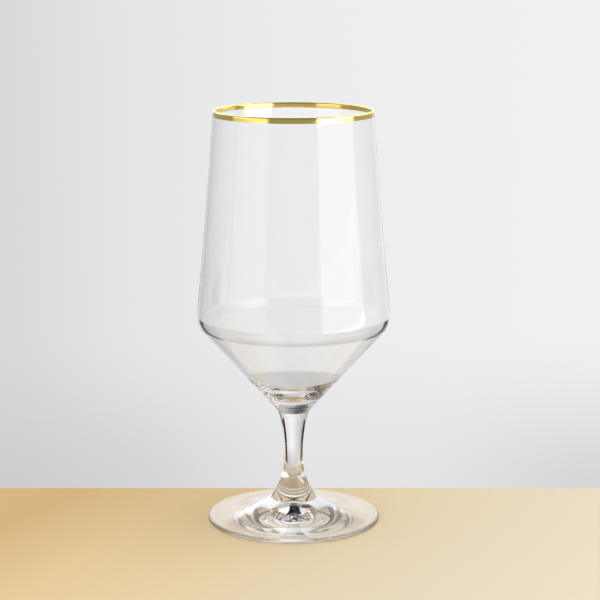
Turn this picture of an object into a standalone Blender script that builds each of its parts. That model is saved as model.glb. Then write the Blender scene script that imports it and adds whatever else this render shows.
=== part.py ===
"""Stemmed cocktail glass with a gilded lip, as the four pieces it is made from.

A hollow bowl, a drawn stem and a pressed foot are turned about +Z and stand on one another,
and a thin band of fired gold wraps over the lip. Metres, +Z up, origin under the middle of the foot.
"""

import math

import bpy
from mathutils import Vector

MM = 0.001

# Driving dimensions: heights above the table and radii from the axis
HEIGHT = 185.0 * MM
LIP_RADIUS = 35.3 * MM
SHOULDER_HEIGHT = 90.6 * MM
SHOULDER_RADIUS = 43.4 * MM
NECK_HEIGHT = 50.0 * MM
NECK_RADIUS = 6.9 * MM
WAIST_HEIGHT = 28.5 * MM
WAIST_RADIUS = 4.16 * MM
ANKLE_HEIGHT = 9.8 * MM
ANKLE_RADIUS = 10.3 * MM
FOOT_RADIUS = 38.8 * MM

# Bowl: a wall that leans out as it goes down, a rounded shoulder, a cone and a thick floor
LIP_THICKNESS = 1.1 * MM
WALL_BOW = 0.25 * MM
SHOULDER_ROUNDING = 8.0 * MM
INNER_SHOULDER_HEIGHT = 91.23 * MM
INNER_SHOULDER_RADIUS = 41.54 * MM
INNER_SHOULDER_ROUNDING = 7.0 * MM
FLOOR_HEIGHT = 57.35 * MM
FLOOR_ROUNDING = 28.5 * MM

# Stem: powers that shape the flare above and below the waist
NECK_FLARE_POWER = 2.4
ANKLE_FLARE_POWER = 1.95

# Foot: a disc that sweeps up to the stem and stands on a flat ring round a hollow that rises to a tip
FOOT_SWEEP_POWER = 2.12
FOOT_EDGE_THICKNESS = 2.0 * MM
REST_RING_WIDTH = 2.5 * MM
HOLLOW_DEPTH = 3.9 * MM
HOLLOW_SWEEP_POWER = 2.4
HOLLOW_TIP_ROUNDING = 0.8 * MM

# Gold band over the lip
BAND_OUTSIDE = 2.4 * MM
BAND_INSIDE = 2.0 * MM
BAND_THICKNESS = 0.15 * MM
BAND_CLEARANCE = 0.10 * MM

JOINT_CLEARANCE = 0.3 * MM
MERGE_DISTANCE = 0.01 * MM

# Facets round the axis and along each curved run of a profile
TURN_STEPS = 64
LIP_STEPS = 6
WALL_STEPS = 5
SHOULDER_STEPS = 6
INNER_SHOULDER_STEPS = 5
FLOOR_STEPS = 7
STEM_STEPS = 18
SWEEP_STEPS = 9
EDGE_STEPS = 6
HOLLOW_STEPS = 10

GLASS_COLOUR = (0.96, 0.97, 0.97, 1.0)
GLASS_IOR = 1.52
GOLD_COLOUR = (0.78, 0.56, 0.18, 1.0)
GOLD_ROUGHNESS = 0.18


def arc(centre, radius, start, end, count):
    """Points on a circle in the turning plane, from one angle to another."""
    points = []
    for step in range(count + 1):
        angle = start + (end - start) * step / count
        points.append(centre + radius * Vector((math.cos(angle), math.sin(angle))))
    return points


def fillet(before, corner, after, radius, count):
    """The rounding of a corner between two straight runs."""
    back = (before - corner).normalized()
    ahead = (after - corner).normalized()
    half_angle = math.acos(back.dot(ahead)) / 2
    centre = corner + (back + ahead).normalized() * radius / math.sin(half_angle)
    reach = radius / math.tan(half_angle)
    first = corner + back * reach - centre
    last = corner + ahead * reach - centre
    start = math.atan2(first.y, first.x)
    turn = math.remainder(math.atan2(last.y, last.x) - start, math.tau)
    return arc(centre, radius, start, start + turn, count)


def bowed(start, end, sag, count):
    """Points between the ends of a wall whose middle sits closer to the axis by the sag."""
    points = []
    for step in range(1, count):
        share = step / count
        point = start.lerp(end, share)
        point.x -= sag * 4 * share * (1 - share)
        points.append(point)
    return points


def offset(path, distance):
    """The path moved to its left by a distance."""
    moved = []
    for index, point in enumerate(path):
        before = path[max(index - 1, 0)]
        after = path[min(index + 1, len(path) - 1)]
        along = (after - before).normalized()
        moved.append(point + distance * Vector((-along.y, along.x)))
    return moved


def lip_arc():
    """The round top of the wall, from its inner side over to its outer side."""
    radius = LIP_THICKNESS / 2
    top = HEIGHT - BAND_CLEARANCE - BAND_THICKNESS
    centre = Vector((LIP_RADIUS - radius, top - radius))
    return arc(centre, radius, math.pi, 0.0, LIP_STEPS)


def bowl_profile():
    """From the middle of the floor up the inside, over the lip and down the outside."""
    lip = lip_arc()
    inner_shoulder = Vector((INNER_SHOULDER_RADIUS, INNER_SHOULDER_HEIGHT))
    shoulder = Vector((SHOULDER_RADIUS, SHOULDER_HEIGHT))
    neck = Vector((NECK_RADIUS, NECK_HEIGHT + JOINT_CLEARANCE / 2))

    # The floor is part of a sphere that the inner cone leaves at a tangent
    floor_centre = Vector((0.0, FLOOR_HEIGHT + FLOOR_ROUNDING))
    out = inner_shoulder - floor_centre
    tangent = math.atan2(out.y, out.x) - math.acos(FLOOR_ROUNDING / out.length)
    floor = arc(floor_centre, FLOOR_ROUNDING, -math.pi / 2, tangent, FLOOR_STEPS)

    inner_round = fillet(floor[-1], inner_shoulder, lip[0], INNER_SHOULDER_ROUNDING, INNER_SHOULDER_STEPS)
    inner_wall = bowed(inner_round[-1], lip[0], WALL_BOW, WALL_STEPS)
    outer_round = fillet(lip[-1], shoulder, neck, SHOULDER_ROUNDING, SHOULDER_STEPS)
    outer_wall = bowed(lip[-1], outer_round[0], WALL_BOW, WALL_STEPS)
    base = [neck, Vector((0.0, neck.y))]
    return floor + inner_round + inner_wall + lip + outer_wall + outer_round + base


def stem_radius(height):
    """Radius of the stem, which flares by a power of the distance from its waist."""
    if height > WAIST_HEIGHT:
        share = (height - WAIST_HEIGHT) / (NECK_HEIGHT - WAIST_HEIGHT)
        return WAIST_RADIUS + (NECK_RADIUS - WAIST_RADIUS) * share**NECK_FLARE_POWER
    share = (WAIST_HEIGHT - height) / (WAIST_HEIGHT - ANKLE_HEIGHT)
    return WAIST_RADIUS + (ANKLE_RADIUS - WAIST_RADIUS) * share**ANKLE_FLARE_POWER


def stem_profile():
    """From the middle of the top down the flared side to the middle of the base."""
    top = NECK_HEIGHT - JOINT_CLEARANCE / 2
    base = ANKLE_HEIGHT + JOINT_CLEARANCE / 2
    side = []
    for step in range(STEM_STEPS + 1):
        height = top + (base - top) * step / STEM_STEPS
        side.append(Vector((stem_radius(height), height)))
    return [Vector((0.0, top)), *side, Vector((0.0, base))]


def hollow_path(ring_inside):
    """The underside, which rises by a power from the rest ring to a rounded tip on the axis."""
    tip = HOLLOW_TIP_ROUNDING
    path = []
    for step in range(HOLLOW_STEPS + 1):
        radius = ring_inside * (1 - step / HOLLOW_STEPS)
        share = (math.hypot(radius, tip) - tip) / (math.hypot(ring_inside, tip) - tip)
        path.append(Vector((radius, HOLLOW_DEPTH * (1 - share) ** HOLLOW_SWEEP_POWER)))
    return path


def foot_profile():
    """From the middle of the top out over the sweep, round the edge and back under the hollow."""
    top = ANKLE_HEIGHT - JOINT_CLEARANCE / 2
    edge_radius = FOOT_EDGE_THICKNESS / 2
    edge_centre = Vector((FOOT_RADIUS - edge_radius, edge_radius))
    sweep = []
    for step in range(SWEEP_STEPS):
        share = step / SWEEP_STEPS
        radius = ANKLE_RADIUS + (edge_centre.x - ANKLE_RADIUS) * share
        rise = (top - FOOT_EDGE_THICKNESS) * (1 - share) ** FOOT_SWEEP_POWER
        sweep.append(Vector((radius, FOOT_EDGE_THICKNESS + rise)))
    edge = arc(edge_centre, edge_radius, math.pi / 2, -math.pi / 2, EDGE_STEPS)

    return [Vector((0.0, top)), *sweep, *edge, *hollow_path(edge_centre.x - REST_RING_WIDTH)]


def band_profile():
    """A closed section that follows the lip at a small clearance on both sides."""
    lip = lip_arc()
    inner_wall = Vector((INNER_SHOULDER_RADIUS, INNER_SHOULDER_HEIGHT)) - lip[0]
    outer_wall = Vector((SHOULDER_RADIUS, SHOULDER_HEIGHT)) - lip[-1]
    inner_end = lip[0] + inner_wall * BAND_INSIDE / inner_wall.length
    outer_end = lip[-1] + outer_wall * BAND_OUTSIDE / outer_wall.length
    path = [inner_end, *lip, outer_end]
    face = offset(path, BAND_CLEARANCE + BAND_THICKNESS)
    back = offset(path, BAND_CLEARANCE)
    return face + back[::-1]


def glass_material(name):
    """Clear colourless glass."""
    material = bpy.data.materials.new(name)
    material.use_nodes = True
    shader = material.node_tree.nodes["Principled BSDF"]
    shader.inputs["Base Color"].default_value = GLASS_COLOUR
    shader.inputs["Roughness"].default_value = 0.0
    shader.inputs["IOR"].default_value = GLASS_IOR
    shader.inputs["Transmission Weight"].default_value = 1.0
    return material


def gold_material(name):
    """Bright fired gold."""
    material = bpy.data.materials.new(name)
    material.use_nodes = True
    shader = material.node_tree.nodes["Principled BSDF"]
    shader.inputs["Base Color"].default_value = GOLD_COLOUR
    shader.inputs["Metallic"].default_value = 1.0
    shader.inputs["Roughness"].default_value = GOLD_ROUGHNESS
    return material


def turned(name, profile, material, collection, parent, is_ring=False):
    """A piece made by turning its profile once about +Z."""
    mesh = bpy.data.meshes.new(name)
    edges = [(index, index + 1) for index in range(len(profile) - 1)]
    if is_ring:
        edges.append((len(profile) - 1, 0))
    mesh.from_pydata([(point.x, 0.0, point.y) for point in profile], edges, [])
    mesh.materials.append(material)
    piece = bpy.data.objects.new(name, mesh)
    piece.parent = parent
    collection.objects.link(piece)

    screw = piece.modifiers.new("Turn", "SCREW")
    screw.axis = "Z"
    screw.steps = TURN_STEPS
    screw.render_steps = TURN_STEPS
    screw.use_smooth_shade = True
    screw.use_merge_vertices = True
    screw.merge_threshold = MERGE_DISTANCE
    return piece


def clear_scene():
    for item in list(bpy.data.objects):
        bpy.data.objects.remove(item, do_unlink=True)


def main():
    clear_scene()
    glass = bpy.data.collections.new("cocktail_glass")
    bpy.context.scene.collection.children.link(glass)
    stand = bpy.data.objects.new("stand_point", None)
    glass.objects.link(stand)

    turned("bowl", bowl_profile(), glass_material("bowl_glass"), glass, stand)
    turned("stem", stem_profile(), glass_material("stem_glass"), glass, stand)
    turned("foot", foot_profile(), glass_material("foot_glass"), glass, stand)
    turned("gold_rim", band_profile(), gold_material("fired_gold"), glass, stand, is_ring=True)


main()
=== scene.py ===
"""Looks of a stemmed cocktail glass with a gilded lip.

Laid out as an add-on and run as a script: the bowl, stem, foot and gold band are turned with bmesh
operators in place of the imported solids, given their glass and gold, and set on a lit stage.
"""

import math

import bmesh
import bpy
from bpy.props import FloatProperty, FloatVectorProperty, IntProperty, PointerProperty
from mathutils import Matrix, Vector


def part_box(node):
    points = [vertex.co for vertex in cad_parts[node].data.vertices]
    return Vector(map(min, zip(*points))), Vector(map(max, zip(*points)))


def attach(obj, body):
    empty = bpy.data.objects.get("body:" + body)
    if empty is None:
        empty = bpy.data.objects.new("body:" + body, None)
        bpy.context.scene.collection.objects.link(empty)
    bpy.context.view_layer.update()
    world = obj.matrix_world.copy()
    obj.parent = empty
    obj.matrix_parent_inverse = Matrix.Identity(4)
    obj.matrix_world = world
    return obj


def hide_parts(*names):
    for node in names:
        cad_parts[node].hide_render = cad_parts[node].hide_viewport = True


bl_info = {
    "name": "Cocktail Glass",
    "version": (1, 0, 0),
    "blender": (4, 5, 0),
    "location": "3D View > Sidebar > Glass",
    "description": "Turns a stemmed cocktail glass with a gilded lip and sets it on a lit stage",
    "category": "Object",
}

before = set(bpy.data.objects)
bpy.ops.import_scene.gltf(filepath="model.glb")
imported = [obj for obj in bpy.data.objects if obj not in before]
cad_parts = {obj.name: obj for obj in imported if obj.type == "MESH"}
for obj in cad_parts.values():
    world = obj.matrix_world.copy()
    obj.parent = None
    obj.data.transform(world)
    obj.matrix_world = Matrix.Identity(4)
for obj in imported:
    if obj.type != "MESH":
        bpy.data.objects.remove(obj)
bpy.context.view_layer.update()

MM = 0.001
BOWL_LOW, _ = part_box("bowl")
STEM_LOW, STEM_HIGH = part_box("stem")
_, FOOT_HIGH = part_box("foot")
_, BAND_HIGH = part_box("gold_rim")

# An outline is cut into runs this long, so that shading normals bend only next to a rounding
OUTLINE_RUN = 2.5 * MM
BAND_RUN = 0.5 * MM
MERGE_DISTANCE = 0.0005 * MM
SHARP_ANGLE = math.radians(20.0)
GOLD_CLEARANCE = 0.01 * MM

# Steps along the curved parts of the outlines
FLOOR_STEPS = 28
INNER_SHOULDER_STEPS = 16
SHOULDER_STEPS = 20
EDGE_STEPS = 8
STEM_STEPS = 64
FOOT_STEPS = 40

# A power that sets the steps of the hollow closer together towards its tip
HOLLOW_CROWDING = 1.6

# Shares that roundings take up, just short of meeting each other or the axis
EDGE_ROUNDING = 0.49
FLOOR_ROUNDING = 0.9999

# Rings above the neck: how many, the cuts that draw them and the radius inside which there are none
RING_COUNT = 3
RING_CUTS = 15
RING_INSIDE = 1.0 * MM

GLASS_IOR = 1.52

# Noise of each finish: its stretch along the axes, its scale and its detail
WIPED_FILM = ((1.0, 1.0, 0.6), 70.0, 4.0)
FIRE_RIPPLE = ((1.0, 1.0, 0.35), 55.0, 1.0)
BRUSH_STROKES = ((1.0, 1.0, 22.0), 90.0, 3.0)

# Roughness by noise: two values of the noise, then the roughness at each
GLASS_ROUGHNESS = (0.55, 0.8, 0.0, 0.02)
GOLD_ROUGHNESS = (0.3, 0.7, 0.16, 0.08)

RIPPLE_RELIEF = 0.006 * MM
STROKE_RELIEF = 0.002 * MM

# Share of the lamps' light that each surface of the glass lets on to the floor
LAMP_LIGHT_PASSED = 0.83


def length(name, description, default):
    """A size in metres that a user may change."""
    return FloatProperty(
        name=name,
        description=description,
        default=default,
        unit="LENGTH",
        subtype="DISTANCE",
        precision=5,
    )


def power(name, description, default):
    """A power that a user may change, by which a side flares or sweeps."""
    return FloatProperty(name=name, description=description, default=default, min=1.0)


def light_level(name, description, default):
    """A brightness that a user may change."""
    return FloatProperty(name=name, description=description, default=default, min=0.0)


def colour(name, description, default):
    """A linear colour that a user may change."""
    return FloatVectorProperty(
        name=name,
        description=description,
        default=default,
        size=3,
        subtype="COLOR",
        min=0.0,
        max=1.0,
    )


class GlassSizes(bpy.types.PropertyGroup):
    """Sizes of the glass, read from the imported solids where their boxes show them."""

    turn_steps: IntProperty(
        name="Turn steps", description="Faces round each turned piece", default=192, min=48
    )
    height: length("Height", "Top of the gold on the lip", BAND_HIGH.z)
    lip_radius: length("Lip radius", "Outside of the wall at the lip", 35.3 * MM)
    lip_thickness: length("Lip thickness", "Wall at the lip", 1.1 * MM)
    wall_bow: length("Wall bow", "How far the middle of the wall sits inside a straight one", 0.25 * MM)
    shoulder_radius: length("Shoulder radius", "Where wall and cone would meet", 43.4 * MM)
    shoulder_height: length("Shoulder height", "Where wall and cone would meet", 90.6 * MM)
    shoulder_rounding: length("Shoulder rounding", "Radius of the outer shoulder", 8.0 * MM)
    inner_radius: length("Inner shoulder radius", "Where inner wall and cone would meet", 41.54 * MM)
    inner_height: length("Inner shoulder height", "Where inner wall and cone would meet", 91.23 * MM)
    inner_rounding: length("Inner shoulder rounding", "Radius of the inner shoulder", 7.0 * MM)
    floor_height: length("Floor height", "Lowest point inside the bowl", 57.35 * MM)
    floor_rounding: length("Floor rounding", "Radius of the round floor", 28.5 * MM)
    neck_height: length("Neck height", "Joint of bowl and stem", (BOWL_LOW.z + STEM_HIGH.z) / 2)
    neck_radius: length("Neck radius", "Joint of bowl and stem", 6.9 * MM)
    ring_pitch: length("Neck ring pitch", "Distance of the faint rings above the neck", 1.3 * MM)
    ring_depth: length("Neck ring depth", "Height of the faint rings above the neck", 0.04 * MM)
    waist_height: length("Waist height", "Narrowest part of the stem", 28.5 * MM)
    waist_radius: length("Waist radius", "Narrowest part of the stem", 4.16 * MM)
    neck_flare: power("Neck flare", "Power of the flare above the waist", 2.4)
    ankle_flare: power("Ankle flare", "Power of the flare below the waist", 1.95)
    ankle_height: length("Ankle height", "Joint of stem and foot", (STEM_LOW.z + FOOT_HIGH.z) / 2)
    ankle_radius: length("Ankle radius", "Joint of stem and foot", 10.3 * MM)
    foot_radius: length("Foot radius", "Outside of the foot", FOOT_HIGH.x)
    foot_edge: length("Foot edge", "Thickness of the foot at its edge", 2.0 * MM)
    foot_sweep: power("Foot sweep", "Power of the rise from the edge to the ankle", 2.12)
    rest_ring: length("Rest ring", "Width of the flat ring that the glass stands on", 2.5 * MM)
    hollow_depth: length("Hollow depth", "Depth of the hollow under the foot", 3.9 * MM)
    hollow_sweep: power("Hollow sweep", "Power of the rise from the rest ring to the axis", 2.4)
    hollow_tip: length("Hollow tip", "Rounding at the top of the hollow", 0.8 * MM)
    band_outside: length("Band outside", "Gold below the lip on the outside", 2.4 * MM)
    band_inside: length("Band inside", "Gold below the lip on the inside", 2.0 * MM)
    band_film: length("Band film", "Thickness of the gold", 0.04 * MM)


class GlassFinish(bpy.types.PropertyGroup):
    """Colours of the glass and the gold."""

    glass_colour: colour("Glass", "Colour of clear glass", (0.987, 0.988, 0.987))
    gold_colour: colour("Gold", "Polished part of the band", (0.87, 0.69, 0.24))
    gold_shade: colour("Gold shade", "Thinner strokes in the band", (0.81, 0.625, 0.16))


class StageSettings(bpy.types.PropertyGroup):
    """Floor, light and camera."""

    floor_line: length("Floor line", "Back edge of the floor, behind the axis", 45.0 * MM)
    camera_distance: length("Camera distance", "From the axis, along the floor", 836.0 * MM)
    camera_height: length("Camera height", "Above the floor", 268.0 * MM)
    camera_aside: length("Camera aside", "To the right of the axis", 2.85 * MM)
    camera_pitch: FloatProperty(
        name="Camera pitch",
        description="Below level",
        default=math.radians(11.33),
        subtype="ANGLE",
        unit="ROTATION",
    )
    camera_lens: FloatProperty(
        name="Camera lens", description="Focal length in mm on a 36 mm sensor", default=115.2, min=10.0
    )
    right_softbox: light_level("Right softbox", "Brightness, where 1 is white", 4.6)
    left_softbox: light_level("Left softbox", "Brightness, where 1 is white", 1.25)
    top_light: light_level("Top light", "Brightness of white faced to it, where 1 is white", 0.45)
    ambient: light_level("Ambient", "Even light from all round, where 1 is white", 0.53)


def draw_outline(corners):
    """A wire of straight runs through corners in the turning plane."""
    outline = bmesh.new()
    verts = [outline.verts.new((radius, 0.0, height)) for radius, height in corners]
    for first, second in zip(verts, verts[1:]):
        outline.edges.new((first, second))
    return outline, verts


def round_corner(outline, corner, radius, segments):
    """Rounds one corner of a wire to a radius."""
    back, ahead = [edge.other_vert(corner).co - corner.co for edge in corner.link_edges]
    reach = radius / math.tan(back.angle(ahead) / 2)
    bmesh.ops.bevel(
        outline,
        geom=[corner],
        offset=reach,
        offset_type="OFFSET",
        segments=segments,
        profile=0.5,
        affect="VERTICES",
        material=-1,
    )


def divide_runs(outline, run):
    """Cuts the long straight runs of a wire into short ones."""
    for edge in list(outline.edges):
        cuts = int(edge.calc_length() / run)
        if cuts:
            bmesh.ops.subdivide_edges(outline, edges=[edge], cuts=cuts)


def turn(outline, steps):
    """Turns a wire once about +Z and closes its seam and poles."""
    bmesh.ops.spin(
        outline,
        geom=outline.verts[:] + outline.edges[:],
        cent=(0.0, 0.0, 0.0),
        axis=(0.0, 0.0, 1.0),
        dvec=(0.0, 0.0, 0.0),
        angle=math.tau,
        steps=steps,
        use_merge=True,
    )
    bmesh.ops.remove_doubles(outline, verts=outline.verts, dist=MERGE_DISTANCE)
    bmesh.ops.dissolve_degenerate(outline, edges=outline.edges, dist=MERGE_DISTANCE)
    bmesh.ops.recalc_face_normals(outline, faces=outline.faces)


def mark_joints(shape, heights):
    """Gives the flat faces at the fused joints the second material."""
    for face in shape.faces:
        for height in heights:
            if all(abs(vert.co.z - height) < MERGE_DISTANCE for vert in face.verts):
                face.material_index = 1


def lip_top(sizes):
    """Height of the glass under the gold on the lip."""
    return sizes.height - sizes.band_film - GOLD_CLEARANCE


def bow_wall(outline, sizes):
    """Draws the long walls of the bowl in towards the axis, most at mid height."""
    low = sizes.shoulder_height + sizes.shoulder_rounding / 2
    high = lip_top(sizes) - sizes.lip_thickness
    for vert in outline.verts:
        share = (vert.co.z - low) / (high - low)
        if 0.0 < share < 1.0:
            vert.co.x -= sizes.wall_bow * 4 * share * (1 - share)


def ring_neck(outline, sizes):
    """Rings that the tool leaves in the glass just above the neck."""
    cut_height = (RING_COUNT + 1) * sizes.ring_pitch
    ringed = []
    for edge in outline.edges:
        heights = [vert.co.z - sizes.neck_height for vert in edge.verts]
        radii = [vert.co.x for vert in edge.verts]
        if min(heights) >= 0.0 and max(heights) < cut_height and min(radii) > RING_INSIDE:
            ringed.append(edge)
    bmesh.ops.subdivide_edges(outline, edges=ringed, cuts=RING_CUTS)
    for vert in outline.verts:
        rings = (vert.co.z - sizes.neck_height) / sizes.ring_pitch
        if vert.co.x > RING_INSIDE and 0.0 < rings < RING_COUNT:
            vert.co.x += sizes.ring_depth * math.sin(math.tau * rings)


def bowl_outline(sizes):
    """From the middle of the floor up the inside, over the lip and down to the neck."""
    # The floor is part of a sphere that the inner cone leaves at a tangent
    out = Vector((sizes.inner_radius, sizes.inner_height - sizes.floor_height - sizes.floor_rounding))
    tangent = math.atan2(out.y, out.x) - math.acos(sizes.floor_rounding / out.length)
    floor_corner = sizes.floor_rounding * math.tan((math.pi / 2 + tangent) / 2)
    top = lip_top(sizes)
    outline, verts = draw_outline(
        [
            (0.0, sizes.floor_height),
            (floor_corner, sizes.floor_height),
            (sizes.inner_radius, sizes.inner_height),
            (sizes.lip_radius - sizes.lip_thickness, top),
            (sizes.lip_radius, top),
            (sizes.shoulder_radius, sizes.shoulder_height),
            (sizes.neck_radius, sizes.neck_height),
            (0.0, sizes.neck_height),
        ]
    )
    lip_rounding = sizes.lip_thickness * EDGE_ROUNDING
    roundings = (
        (verts[1], sizes.floor_rounding * FLOOR_ROUNDING, FLOOR_STEPS),
        (verts[2], sizes.inner_rounding, INNER_SHOULDER_STEPS),
        (verts[3], lip_rounding, EDGE_STEPS),
        (verts[4], lip_rounding, EDGE_STEPS),
        (verts[5], sizes.shoulder_rounding, SHOULDER_STEPS),
    )
    for corner, radius, segments in roundings:
        round_corner(outline, corner, radius, segments)
    divide_runs(outline, OUTLINE_RUN)
    bow_wall(outline, sizes)
    ring_neck(outline, sizes)
    return outline


def stem_radius(sizes, height):
    """Radius of the stem, which flares by a power of the distance from its waist."""
    if height > sizes.waist_height:
        share = (height - sizes.waist_height) / (sizes.neck_height - sizes.waist_height)
        return sizes.waist_radius + (sizes.neck_radius - sizes.waist_radius) * share**sizes.neck_flare
    share = (sizes.waist_height - height) / (sizes.waist_height - sizes.ankle_height)
    return sizes.waist_radius + (sizes.ankle_radius - sizes.waist_radius) * share**sizes.ankle_flare


def stem_outline(sizes):
    """From the middle of the top down the flared side to the middle of the base."""
    corners = [(0.0, sizes.neck_height)]
    for step in range(STEM_STEPS + 1):
        height = sizes.neck_height + (sizes.ankle_height - sizes.neck_height) * step / STEM_STEPS
        corners.append((stem_radius(sizes, height), height))
    corners.append((0.0, sizes.ankle_height))
    outline, _ = draw_outline(corners)
    return outline


def hollow_height(sizes, radius, ring_inside):
    """Height of the underside, which rises by a power from the rest ring to a rounded tip."""
    tip = sizes.hollow_tip
    share = (math.hypot(radius, tip) - tip) / (math.hypot(ring_inside, tip) - tip)
    return sizes.hollow_depth * (1 - share) ** sizes.hollow_sweep


def foot_outline(sizes):
    """From the middle of the top out over the sweep, round the edge and back under the hollow."""
    sweep_end = sizes.foot_radius - sizes.foot_edge / 2
    ring_inside = sweep_end - sizes.rest_ring
    corners = [(0.0, sizes.ankle_height)]
    for step in range(FOOT_STEPS):
        share = step / FOOT_STEPS
        rise = (sizes.ankle_height - sizes.foot_edge) * (1 - share) ** sizes.foot_sweep
        radius = sizes.ankle_radius + (sweep_end - sizes.ankle_radius) * share
        corners.append((radius, sizes.foot_edge + rise))
    edge_top = len(corners)
    corners.append((sizes.foot_radius, sizes.foot_edge))
    corners.append((sizes.foot_radius, 0.0))
    for step in range(FOOT_STEPS + 1):
        radius = ring_inside * (1 - step / FOOT_STEPS) ** HOLLOW_CROWDING
        corners.append((radius, hollow_height(sizes, radius, ring_inside)))
    outline, verts = draw_outline(corners)
    for corner in verts[edge_top : edge_top + 2]:
        round_corner(outline, corner, sizes.foot_edge * EDGE_ROUNDING, EDGE_STEPS)
    return outline


def band_outline(sizes):
    """The path of the gold, from inside the lip over it and down the outside."""
    top = lip_top(sizes) + GOLD_CLEARANCE
    inner = Vector((sizes.lip_radius - sizes.lip_thickness - GOLD_CLEARANCE, top))
    outer = Vector((sizes.lip_radius + GOLD_CLEARANCE, top))
    inner_lean = (sizes.inner_radius - inner.x) / (top - sizes.inner_height)
    outer_lean = (sizes.shoulder_radius - outer.x) / (top - sizes.shoulder_height)
    outline, verts = draw_outline(
        [
            (inner.x + inner_lean * sizes.band_inside, top - sizes.band_inside),
            inner,
            outer,
            (outer.x + outer_lean * sizes.band_outside, top - sizes.band_outside),
        ]
    )
    for corner in verts[1:3]:
        round_corner(outline, corner, sizes.lip_thickness * EDGE_ROUNDING, EDGE_STEPS)
    divide_runs(outline, BAND_RUN)
    return outline


def new_material(name):
    """A node material with its shader and a reader of the piece's own coordinates."""
    material = bpy.data.materials.new(name)
    material.use_nodes = True
    tree = material.node_tree
    shader = tree.nodes["Principled BSDF"]
    place = tree.nodes.new("ShaderNodeTexCoord").outputs["Object"]
    return material, tree, shader, place


def add_noise(tree, place, stretch, scale, detail):
    """Noise on the piece's own coordinates, stretched along its axes."""
    mapping = tree.nodes.new("ShaderNodeMapping")
    mapping.inputs["Scale"].default_value = stretch
    noise = tree.nodes.new("ShaderNodeTexNoise")
    noise.inputs["Scale"].default_value = scale
    noise.inputs["Detail"].default_value = detail
    tree.links.new(place, mapping.inputs["Vector"])
    tree.links.new(mapping.outputs["Vector"], noise.inputs["Vector"])
    return noise.outputs["Fac"]


def add_range(tree, value, low, high, to_low, to_high):
    """A value moved smoothly from one range to another."""
    node = tree.nodes.new("ShaderNodeMapRange")
    node.interpolation_type = "SMOOTHSTEP"
    node.inputs["From Min"].default_value = low
    node.inputs["From Max"].default_value = high
    node.inputs["To Min"].default_value = to_low
    node.inputs["To Max"].default_value = to_high
    tree.links.new(value, node.inputs["Value"])
    return node.outputs["Result"]


def add_bump(tree, shader, height, distance):
    """Relief of a few thousandths of a millimetre in the surface."""
    bump = tree.nodes.new("ShaderNodeBump")
    bump.inputs["Strength"].default_value = 1.0
    bump.inputs["Distance"].default_value = distance
    tree.links.new(height, bump.inputs["Height"])
    tree.links.new(bump.outputs["Normal"], shader.inputs["Normal"])


def blend(tree, share, first, second):
    """A colour between two, by a share or a switch."""
    mix = tree.nodes.new("ShaderNodeMix")
    mix.data_type = "RGBA"
    tree.links.new(share, mix.inputs["Factor"])
    for socket, source in (("A", first), ("B", second)):
        if isinstance(source, bpy.types.NodeSocket):
            tree.links.new(source, mix.inputs[socket])
        else:
            mix.inputs[socket].default_value = source
    return mix.outputs["Result"]


def clear_when(tree, shader, switch, passed):
    """Lets a share of the rays' light pass a surface where a switch is on."""
    clear = tree.nodes.new("ShaderNodeBsdfTransparent")
    clear.inputs["Color"].default_value = (passed, passed, passed, 1.0)
    mix = tree.nodes.new("ShaderNodeMixShader")
    tree.links.new(switch, mix.inputs["Fac"])
    tree.links.new(shader.outputs["BSDF"], mix.inputs[1])
    tree.links.new(clear.outputs["BSDF"], mix.inputs[2])
    tree.links.new(mix.outputs["Shader"], tree.nodes["Material Output"].inputs["Surface"])


def glass_material(name, finish):
    """Clear polished glass with the faint ripple of fire polishing and the film of a wiped surface."""
    material, tree, shader, place = new_material(name)
    shader.inputs["Base Color"].default_value = (*finish.glass_colour, 1.0)
    shader.inputs["IOR"].default_value = GLASS_IOR
    shader.inputs["Transmission Weight"].default_value = 1.0
    film = add_noise(tree, place, *WIPED_FILM)
    tree.links.new(add_range(tree, film, *GLASS_ROUGHNESS), shader.inputs["Roughness"])
    ripple = add_noise(tree, place, *FIRE_RIPPLE)
    add_bump(tree, shader, ripple, RIPPLE_RELIEF)
    path = tree.nodes.new("ShaderNodeLightPath")
    clear_when(tree, shader, path.outputs["Is Shadow Ray"], LAMP_LIGHT_PASSED)
    return material


def joint_material():
    """The fused joint, where the glass goes on without a surface."""
    material, _, shader, _ = new_material("fused_joint")
    shader.inputs["Alpha"].default_value = 0.0
    return material


def gold_material(finish):
    """Fired gold laid on with a brush: fine strokes along the band, brighter where it is thicker."""
    material, tree, shader, place = new_material("fired_gold")
    strokes = add_noise(tree, place, *BRUSH_STROKES)
    tone = blend(tree, strokes, (*finish.gold_shade, 1.0), (*finish.gold_colour, 1.0))
    tree.links.new(tone, shader.inputs["Base Color"])
    shader.inputs["Metallic"].default_value = 1.0
    tree.links.new(add_range(tree, strokes, *GOLD_ROUGHNESS), shader.inputs["Roughness"])
    add_bump(tree, shader, strokes, STROKE_RELIEF)
    return material


def add_object(name, shape, materials):
    """Makes the object of a shape, with its materials in order."""
    mesh = bpy.data.meshes.new(name)
    shape.to_mesh(mesh)
    shape.free()
    for material in materials:
        mesh.materials.append(material)
    piece = bpy.data.objects.new(name, mesh)
    bpy.context.scene.collection.objects.link(piece)
    return piece


def finish_piece(name, shape, materials, node):
    """Makes the object of a turned piece, which takes the place of its solid."""
    piece = add_object(name, shape, materials)
    piece.data.shade_smooth()
    piece.data.set_sharp_from_angle(angle=SHARP_ANGLE)
    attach(piece, "root")
    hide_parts(node)


def finish_glass(context, name, shape, joints, node, slot):
    """Turns the outline of a piece of clear glass, with fused joints at the given heights."""
    turn(shape, context.scene.glass_sizes.turn_steps)
    mark_joints(shape, joints)
    glass = glass_material(slot, context.scene.glass_finish)
    finish_piece(name, shape, [glass, joint_material()], node)


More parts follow.
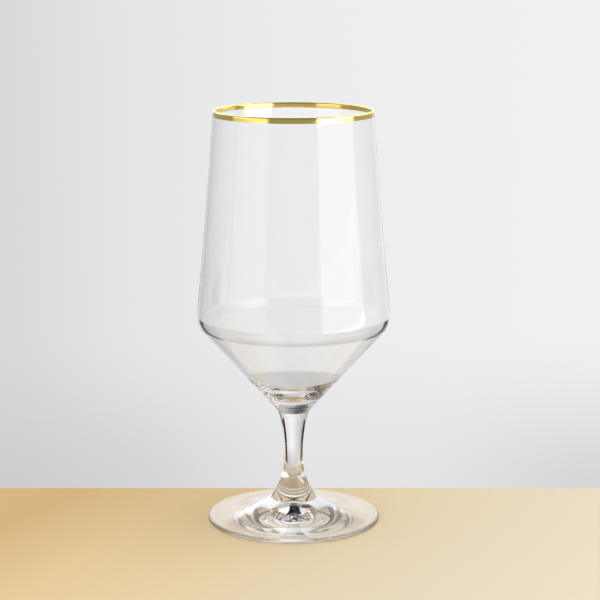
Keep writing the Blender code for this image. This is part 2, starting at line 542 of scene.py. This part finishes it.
class CocktailGlassOperator:
    """What the operators of this add-on share."""

    bl_options = {"REGISTER", "UNDO"}


class MakeBowl(CocktailGlassOperator, bpy.types.Operator):
    """Turn the bowl, with its thin wall, round shoulder and thick floor"""

    bl_idname = "cocktail_glass.make_bowl"
    bl_label = "Bowl"

    def execute(self, context):
        sizes = context.scene.glass_sizes
        joints = [sizes.neck_height]
        finish_glass(context, "clear_bowl", bowl_outline(sizes), joints, "bowl", "bowl_glass")
        return {"FINISHED"}


class MakeStem(CocktailGlassOperator, bpy.types.Operator):
    """Turn the stem, narrow at its waist and flared at both ends"""

    bl_idname = "cocktail_glass.make_stem"
    bl_label = "Stem"

    def execute(self, context):
        sizes = context.scene.glass_sizes
        joints = [sizes.neck_height, sizes.ankle_height]
        finish_glass(context, "clear_stem", stem_outline(sizes), joints, "stem", "stem_glass")
        return {"FINISHED"}


class MakeFoot(CocktailGlassOperator, bpy.types.Operator):
    """Turn the foot, with its sweep, round edge and hollow underside"""

    bl_idname = "cocktail_glass.make_foot"
    bl_label = "Foot"

    def execute(self, context):
        sizes = context.scene.glass_sizes
        joints = [sizes.ankle_height]
        finish_glass(context, "clear_foot", foot_outline(sizes), joints, "foot", "foot_glass")
        return {"FINISHED"}


class MakeGoldRim(CocktailGlassOperator, bpy.types.Operator):
    """Lay the gold band over the lip"""

    bl_idname = "cocktail_glass.make_gold_rim"
    bl_label = "Gold rim"

    def execute(self, context):
        sizes = context.scene.glass_sizes
        shape = band_outline(sizes)
        turn(shape, sizes.turn_steps)
        bmesh.ops.solidify(shape, geom=shape.faces[:], thickness=-sizes.band_film)
        bmesh.ops.recalc_face_normals(shape, faces=shape.faces)
        gold = gold_material(context.scene.glass_finish)
        finish_piece("gold_band", shape, [gold], "gold_rim")
        return {"FINISHED"}


# Floor, in metres: its half size, and how far it lies below the glass, so that the two don't touch
FLOOR_REACH = 6.0
FLOOR_DROP = 0.1 * MM
FLOOR_ROUGHNESS = 0.8

# Half width and half depth of the oval of floor that mirrored rays don't pass
NEAR_FLOOR_WIDTH = 0.75
NEAR_FLOOR_DEPTH = 0.64

# Tones of the floor along a slanted line, from the left at the back to the right at the front: its own
# tan with painted light, darker where the right softbox's light falls off and paler with its painted
# sheen
FLOOR_SLANT = 0.5
FLOOR_TONE_REACH = 0.2
FLOOR_TONES_WITH_PAINTED_LIGHT = (
    (-0.122, (0.74, 0.505, 0.245)),
    (-0.063, (0.85, 0.64, 0.35)),
    (0.04, (0.86, 0.71, 0.475)),
    (0.1, (0.875, 0.745, 0.56)),
    (0.2, (0.94, 0.81, 0.635)),
)

# Softboxes: angles round from the front, and distance from the axis and width in metres
RIGHT_AZIMUTH = math.radians(62.0)
LEFT_AZIMUTH = math.radians(-63.5)
SOFTBOX_DISTANCE = 1.0
SOFTBOX_WIDTH = 1.08

# Parts of a softbox: end of the name, lower and upper edge, and share of its brightness
SOFTBOX_PARTS = (
    ("", (0.22, 0.32), 1.0),
    ("_skirt", (0.0, 0.22), 0.25),
    ("_hood", (0.32, 1.24), 0.35),
)

# Hot strips in front of the right softbox, which add a share of its brightness
GLINTS = (("low_glint", (0.0, 0.025)), ("high_glint", (0.235, 0.32)))
GLINT_DISTANCE = 0.99
GLINT_WIDTH = 1.07
GLINT_SHARE = 0.8

TOP_LIGHT_RISE = math.radians(72.0)
TOP_LIGHT_SPREAD = math.radians(60.0)

# Black cards: angles of their edges from straight behind the glass, to the right, and place in metres
LEFT_FLAG = (math.radians(-82.0), math.radians(-39.0))
RIGHT_FLAG = (math.radians(32.5), math.radians(53.0))
FLAG_DISTANCE = 0.15
FLAG_LOW = -0.045
FLAG_HIGH = 0.06

SENSOR_WIDTH = 36.0
CAMERA_NEAR = 0.01

# Light is reflected many times inside thick glass before it leaves
LIGHT_BOUNCES = 24

# Limits for counts of bounces: one at least, and the four surfaces of the two walls of the bowl
ONE_BOUNCE = 0.5
BOTH_WALLS = 3.5

# The studio is a very little bluer than grey
STUDIO_BLUE = 1.01

# Brightness round the stage by angle from straight behind the glass, in degrees to the right.
# Rings of it stand above one another, each faded in between the two elevations that its row gives.
SEEN_BY_CAMERA_LOW = (
    (-180, 0.72),
    (-30, 0.56),
    (-9, 0.6),
    (-5, 0.65),
    (-2, 0.735),
    (0, 0.765),
    (4, 0.765),
    (9, 0.66),
    (30, 0.64),
    (180, 0.72),
)
SEEN_BY_CAMERA = (
    (-180, 0.84),
    (-30, 0.65),
    (-9, 0.69),
    (-5, 0.785),
    (0, 0.845),
    (9, 0.875),
    (30, 0.875),
    (180, 0.84),
)
CAMERA_RINGS = ((-17.3, -12, SEEN_BY_CAMERA),)

# Seen through the glass: the backdrop, the dark gaps beside it, and the softboxes towards the front
BACKDROP = ((-38, 0.46), (-20, 0.68), (-9, 0.77), (0, 0.92), (9, 0.97), (24, 0.84))

# Both sides low down, with the softboxes as the back of the gold band mirrors them
LOW_LEFT = ((-180, 0.42), (-146, 0.42), (-144, 1.6), (-106, 1.6), (-103, 0.38), (-60, 0.38))
LOW_RIGHT = ((78, 0.9), (84, 0.35), (100, 0.35), (102, 5.5), (146, 5.5), (148, 0.42), (180, 0.42))

SEEN_THROUGH_DOWN = (
    (-180, 0.8),
    (-110, 0.9),
    (-50, 0.82),
    (-28, 0.82),
    (-16, 0.66),
    (16, 0.62),
    (29, 0.55),
    (33, 0.28),
    (46, 0.3),
    (52, 0.5),
    (75, 0.9),
    (180, 0.8),
)
SEEN_THROUGH_LOW = (
    *LOW_LEFT,
    (-38, 0.5),
    (-32, 0.7),
    (-12, 0.66),
    (0, 0.72),
    (16, 0.68),
    (27, 0.58),
    (40, 0.65),
    *LOW_RIGHT,
)
SEEN_THROUGH_RISING = (*LOW_LEFT, (-44, 0.44), *BACKDROP, (30, 0.86), *LOW_RIGHT)
SEEN_THROUGH_LEVEL = (
    (-180, 0.35),
    (-146, 0.35),
    (-143, 0.9),
    (-110, 0.9),
    (-88, 0.5),
    (-44, 0.44),
    *BACKDROP,
    (30, 0.86),
    (88, 0.9),
    (91, 1.5),
    (146, 1.5),
    (148, 0.35),
    (180, 0.35),
)
SEEN_THROUGH_HIGH = (
    (-180, 0.0),
    (-140, 0.0),
    (-134, 0.8),
    (-118, 0.85),
    (-108, 0.4),
    (-101, 0.06),
    (-70, 0.06),
    (-63, 0.5),
    (-30, 0.6),
    (-15, 0.72),
    (0, 0.88),
    (15, 0.97),
    (32, 0.76),
    (52, 0.5),
    (58, 0.06),
    (86, 0.08),
    (92, 0.78),
    (118, 1.5),
    (142, 1.5),
    (148, 0.0),
    (180, 0.0),
)
SEEN_THROUGH_TOP = (
    (-180, 0.0),
    (-30, 0.0),
    (-20, 0.08),
    (-10, 0.2),
    (-3, 0.5),
    (0, 0.55),
    (90, 0.55),
    (118, 0.95),
    (142, 0.95),
    (148, 0.0),
    (180, 0.0),
)
SEEN_THROUGH_ZENITH = (
    (-180, 0.0),
    (-60, 0.0),
    (0, 0.06),
    (60, 0.2),
    (140, 0.3),
    (150, 0.0),
    (180, 0.0),
)
THROUGH_RINGS = (
    (-25, -21, SEEN_THROUGH_LOW),
    (-17, -12.5, SEEN_THROUGH_RISING),
    (-10, -6, SEEN_THROUGH_LEVEL),
    (1, 6, SEEN_THROUGH_HIGH),
    (33, 43, SEEN_THROUGH_TOP),
    (60, 72, SEEN_THROUGH_ZENITH),
)

# Seen straight through both walls of the bowl
SEEN_ACROSS_LOW = (
    (-180, 0.75),
    (-45, 0.6),
    (-32, 0.66),
    (-12, 0.63),
    (0, 0.69),
    (16, 0.65),
    (27, 0.57),
    (40, 0.7),
    (180, 0.75),
)
SEEN_ACROSS = (
    (-180, 0.84),
    (-45, 0.64),
    (-38, 0.6),
    (-20, 0.7),
    (-9, 0.78),
    (0, 0.92),
    (9, 0.96),
    (24, 0.82),
    (180, 0.84),
)
ACROSS_RINGS = ((-16, -11.8, SEEN_ACROSS),)

# Seen reflected: the light over the backdrop is brighter than the backdrop, and it is dark above that
REFLECTED_DOWN = (
    (-180, 0.38),
    (-100, 0.38),
    (-60, 0.2),
    (-34, 0.3),
    (-20, 0.6),
    (0, 0.82),
    (24, 0.88),
    (34, 0.3),
    (80, 0.3),
    (90, 0.38),
    (180, 0.38),
)
REFLECTED_LOW = (
    (-180, 0.38),
    (-100, 0.38),
    (-36, 0.42),
    (-22, 0.7),
    (-14, 0.8),
    (-10, 1.22),
    (10, 1.22),
    (14, 0.85),
    (28, 0.8),
    (36, 0.52),
    (88, 0.5),
    (90, 0.38),
    (180, 0.38),
)
REFLECTED_HIGH = (
    (-180, 0.3),
    (-90, 0.3),
    (-60, 0.7),
    (-40, 1.75),
    (60, 1.75),
    (80, 0.7),
    (90, 0.3),
    (180, 0.3),
)
REFLECTED_TOP = ((-180, 0.05), (180, 0.05))
REFLECTED_RINGS = (
    (-13, -9, REFLECTED_LOW),
    (4, 12, REFLECTED_HIGH),
    (50, 62, REFLECTED_TOP),
)


def add_math(tree, operation, *values):
    """A sum on sockets and plain numbers."""
    node = tree.nodes.new("ShaderNodeMath")
    node.operation = operation
    for socket, value in zip(node.inputs, values):
        if isinstance(value, bpy.types.NodeSocket):
            tree.links.new(value, socket)
        else:
            socket.default_value = value
    return node.outputs["Value"]


def add_ramp(tree, share, stops):
    """Colours along a share from 0 to 1, each by its place."""
    ramp = tree.nodes.new("ShaderNodeValToRGB")
    elements = ramp.color_ramp.elements
    while len(elements) < len(stops):
        elements.new(1.0)
    for element, (place, tone) in zip(elements, stops):
        element.position = place
        element.color = (*tone, 1.0)
    tree.links.new(share, ramp.inputs["Fac"])
    return ramp.outputs["Color"]


def add_floor_tones_with_painted_light(tree, axes):
    """The floor's own tan by where it lies along the slanted line, with the painted falloff and sheen
    of the right softbox.
    """
    aside = add_math(tree, "MULTIPLY", axes.outputs["Y"], FLOOR_SLANT)
    along = add_math(tree, "SUBTRACT", axes.outputs["X"], aside)
    low = -FLOOR_TONE_REACH
    span = FLOOR_TONE_REACH - low
    share = add_math(tree, "DIVIDE", add_math(tree, "SUBTRACT", along, low), span)
    return add_ramp(tree, share, [((place - low) / span, tone) for place, tone in FLOOR_TONES_WITH_PAINTED_LIGHT])


def add_far_switch(tree, axes):
    """On for mirrored rays in the glass that meet the far floor, which then see the studio beyond."""
    across = add_math(tree, "POWER", add_math(tree, "DIVIDE", axes.outputs["X"], NEAR_FLOOR_WIDTH), 2.0)
    along = add_math(tree, "POWER", add_math(tree, "DIVIDE", axes.outputs["Y"], NEAR_FLOOR_DEPTH), 2.0)
    far = add_math(tree, "GREATER_THAN", add_math(tree, "ADD", across, along), 1.0)
    path = tree.nodes.new("ShaderNodeLightPath")
    mirrored = add_math(tree, "GREATER_THAN", path.outputs["Glossy Depth"], ONE_BOUNCE)
    through = add_math(tree, "MULTIPLY", mirrored, path.outputs["Is Transmission Ray"])
    return add_math(tree, "MULTIPLY", far, through)


def add_across_switch(tree):
    """On for light that went straight through both walls of the bowl."""
    path = tree.nodes.new("ShaderNodeLightPath")
    unmirrored = add_math(tree, "LESS_THAN", path.outputs["Glossy Depth"], ONE_BOUNCE)
    crossed = add_math(tree, "GREATER_THAN", path.outputs["Transmission Depth"], BOTH_WALLS)
    return add_math(tree, "MULTIPLY", unmirrored, crossed)


def make_floor(stage):
    """A wide warm floor that ends in a straight edge behind the glass."""
    middle = stage.floor_line - FLOOR_REACH
    shape = bmesh.new()
    bmesh.ops.create_grid(shape, x_segments=1, y_segments=1, size=FLOOR_REACH)
    bmesh.ops.translate(shape, verts=shape.verts, vec=(0.0, middle, -FLOOR_DROP))
    material, tree, shader, place = new_material("pale_floor")
    axes = tree.nodes.new("ShaderNodeSeparateXYZ")
    tree.links.new(place, axes.inputs["Vector"])
    # Painted light: the base colour is darker to the left at the back and paler to the right at the
    # front, standing in for the right softbox's falloff and sheen
    tree.links.new(add_floor_tones_with_painted_light(tree, axes), shader.inputs["Base Color"])
    shader.inputs["Roughness"].default_value = FLOOR_ROUGHNESS
    shader.inputs["Specular IOR Level"].default_value = 0.0
    clear_when(tree, shader, add_far_switch(tree, axes), 1.0)
    floor = add_object("pale_floor", shape, [material])


def make_softbox(name, azimuth, distance, width, heights, brightness):
    """A panel of light that faces the axis, seen by gloss alone."""
    low, high = heights
    light = bpy.data.lights.new(name, "AREA")
    light.shape = "RECTANGLE"
    light.size = width
    light.size_y = high - low
    light.energy = brightness * math.pi * width * (high - low)
    lamp = bpy.data.objects.new(name, light)
    centre = Vector((math.sin(azimuth) * distance, -math.cos(azimuth) * distance, (low + high) / 2))
    lamp.location = centre
    lamp.rotation_euler = Vector((-centre.x, -centre.y, 0.0)).to_track_quat("-Z", "Y").to_euler()
    lamp.visible_camera = False
    lamp.visible_diffuse = False
    lamp.visible_transmission = False
    bpy.context.scene.collection.objects.link(lamp)


def make_softboxes(stage):
    """A bright softbox on the right and a weaker one on the left, each dimmer below and above."""
    for name, azimuth, brightness in (
        ("right_softbox", RIGHT_AZIMUTH, stage.right_softbox),
        ("left_softbox", LEFT_AZIMUTH, stage.left_softbox),
    ):
        for ending, heights, share in SOFTBOX_PARTS:
            part = name + ending
            make_softbox(part, azimuth, SOFTBOX_DISTANCE, SOFTBOX_WIDTH, heights, brightness * share)
    glint = stage.right_softbox * GLINT_SHARE
    for name, heights in GLINTS:
        make_softbox(name, RIGHT_AZIMUTH, GLINT_DISTANCE, GLINT_WIDTH, heights, glint)


def make_top_light(stage):
    """Soft light from above on all that is matt, from the side of the brighter softbox."""
    light = bpy.data.lights.new("top_light", "SUN")
    light.energy = stage.top_light * math.pi
    light.angle = TOP_LIGHT_SPREAD
    lamp = bpy.data.objects.new("top_light", light)
    level = math.cos(TOP_LIGHT_RISE)
    travel = Vector(
        (
            -math.sin(RIGHT_AZIMUTH) * level,
            math.cos(RIGHT_AZIMUTH) * level,
            -math.sin(TOP_LIGHT_RISE),
        )
    )
    lamp.rotation_euler = travel.to_track_quat("-Z", "Y").to_euler()
    lamp.visible_glossy = False
    lamp.visible_transmission = False
    bpy.context.scene.collection.objects.link(lamp)


def make_flag(name, edges):
    """A black card low beside the backdrop, seen only in the stem and foot, whose edges it draws."""
    left, right = edges
    width = 2 * FLAG_DISTANCE * math.tan((right - left) / 2)
    middle = (left + right) / 2
    # A square of one metre, scaled to the card and stood up behind the glass
    shape = bmesh.new()
    bmesh.ops.create_grid(shape, x_segments=1, y_segments=1, size=0.5)
    bmesh.ops.scale(shape, verts=shape.verts, vec=(width, FLAG_HIGH - FLAG_LOW, 1.0))
    bmesh.ops.rotate(shape, verts=shape.verts, matrix=Matrix.Rotation(math.pi / 2, 3, "X"))
    bmesh.ops.translate(shape, verts=shape.verts, vec=(0.0, FLAG_DISTANCE, (FLAG_LOW + FLAG_HIGH) / 2))
    bmesh.ops.rotate(shape, verts=shape.verts, matrix=Matrix.Rotation(-middle, 3, "Z"))
    material, tree, shader, _ = new_material(name)
    shader.inputs["Base Color"].default_value = (0.0, 0.0, 0.0, 1.0)
    shader.inputs["Specular IOR Level"].default_value = 0.0
    clear_when(tree, shader, add_across_switch(tree), 1.0)
    flag = add_object(name, shape, [material])
    flag.visible_camera = False
    flag.visible_diffuse = False
    flag.visible_glossy = False
    flag.visible_shadow = False


def add_surround(tree, turn_share, levels):
    """A ring of brightness round the stage."""
    stops = [(angle / 360 + 0.5, (level, level, level * STUDIO_BLUE)) for angle, level in levels]
    return add_ramp(tree, turn_share, stops)


def stack_rings(tree, rise, turn_share, lowest, rings):
    """Rings of brightness above one another, each faded in between two elevations."""
    seen = add_surround(tree, turn_share, lowest)
    for low, high, levels in rings:
        start = math.sin(math.radians(low))
        end = math.sin(math.radians(high))
        fade = add_range(tree, rise, start, end, 0.0, 1.0)
        seen = blend(tree, fade, seen, add_surround(tree, turn_share, levels))
    return seen


def make_world(stage):
    """Even light on all that is matt, and a pale studio for the camera, the glass and the gold."""
    world = bpy.data.worlds.new("studio")
    bpy.context.scene.world = world
    world.use_nodes = True
    tree = world.node_tree
    direction = tree.nodes.new("ShaderNodeTexCoord").outputs["Generated"]
    axes = tree.nodes.new("ShaderNodeSeparateXYZ")
    tree.links.new(direction, axes.inputs["Vector"])
    rise = axes.outputs["Z"]
    turn_angle = add_math(tree, "ARCTAN2", axes.outputs["X"], axes.outputs["Y"])
    turn_share = add_math(tree, "ADD", add_math(tree, "DIVIDE", turn_angle, math.tau), 0.5)

    through = stack_rings(tree, rise, turn_share, SEEN_THROUGH_DOWN, THROUGH_RINGS)
    across = stack_rings(tree, rise, turn_share, SEEN_ACROSS_LOW, ACROSS_RINGS)
    reflected = stack_rings(tree, rise, turn_share, REFLECTED_DOWN, REFLECTED_RINGS)
    backdrop = stack_rings(tree, rise, turn_share, SEEN_BY_CAMERA_LOW, CAMERA_RINGS)
    ambient = (stage.ambient, stage.ambient, stage.ambient, 1.0)

    # The last kind of ray that fits decides what is seen
    path = tree.nodes.new("ShaderNodeLightPath")
    lights_floor = add_math(tree, "GREATER_THAN", path.outputs["Diffuse Depth"], ONE_BOUNCE)
    through = blend(tree, add_across_switch(tree), through, across)
    seen = blend(tree, path.outputs["Is Glossy Ray"], ambient, reflected)
    seen = blend(tree, path.outputs["Is Transmission Ray"], seen, through)
    seen = blend(tree, path.outputs["Is Camera Ray"], seen, backdrop)
    seen = blend(tree, lights_floor, seen, ambient)
    tree.links.new(seen, tree.nodes["Background"].inputs["Color"])


def make_camera(stage):
    """The camera at the viewing angle of the picture."""
    camera = bpy.data.cameras.new("picture_camera")
    camera.sensor_width = SENSOR_WIDTH
    camera.lens = stage.camera_lens
    camera.clip_start = CAMERA_NEAR
    item = bpy.data.objects.new("picture_camera", camera)
    item.location = (stage.camera_aside, -stage.camera_distance, stage.camera_height)
    item.rotation_euler = (math.pi / 2 - stage.camera_pitch, 0.0, 0.0)
    bpy.context.scene.collection.objects.link(item)
    bpy.context.scene.camera = item


class MakeStage(CocktailGlassOperator, bpy.types.Operator):
    """Set the floor, the soft lights, the studio around them and the camera"""

    bl_idname = "cocktail_glass.make_stage"
    bl_label = "Stage"

    def execute(self, context):
        stage = context.scene.glass_stage
        context.scene.view_settings.view_transform = "Standard"
        context.scene.cycles.max_bounces = LIGHT_BOUNCES
        context.scene.cycles.glossy_bounces = LIGHT_BOUNCES
        context.scene.cycles.transmission_bounces = LIGHT_BOUNCES
        make_floor(stage)
        make_world(stage)
        make_softboxes(stage)
        make_top_light(stage)
        make_flag("left_flag", LEFT_FLAG)
        make_flag("right_flag", RIGHT_FLAG)
        make_camera(stage)
        return {"FINISHED"}


class GlassPanel(bpy.types.Panel):
    """The pieces and the stage, in the order they are made"""

    bl_idname = "VIEW3D_PT_cocktail_glass"
    bl_label = "Cocktail Glass"
    bl_space_type = "VIEW_3D"
    bl_region_type = "UI"
    bl_category = "Glass"

    def draw(self, context):
        for operator in OPERATORS:
            self.layout.operator(operator.bl_idname)
        for group in SETTINGS:
            settings = getattr(context.scene, group)
            box = self.layout.box()
            for name in settings.bl_rna.properties.keys():
                if name not in {"rna_type", "name"}:
                    box.prop(settings, name)


OPERATORS = (MakeBowl, MakeStem, MakeFoot, MakeGoldRim, MakeStage)
SETTINGS = {"glass_sizes": GlassSizes, "glass_finish": GlassFinish, "glass_stage": StageSettings}


def register():
    for item in (*SETTINGS.values(), *OPERATORS, GlassPanel):
        bpy.utils.register_class(item)
    for name, group in SETTINGS.items():
        setattr(bpy.types.Scene, name, PointerProperty(type=group))


def unregister():
    for name in SETTINGS:
        delattr(bpy.types.Scene, name)
    for item in (GlassPanel, *reversed(OPERATORS), *SETTINGS.values()):
        bpy.utils.unregister_class(item)


def main():
    register()
    bpy.ops.cocktail_glass.make_bowl()
    bpy.ops.cocktail_glass.make_stem()
    bpy.ops.cocktail_glass.make_foot()
    bpy.ops.cocktail_glass.make_gold_rim()
    bpy.ops.cocktail_glass.make_stage()


if __name__ == "__main__":
    main()
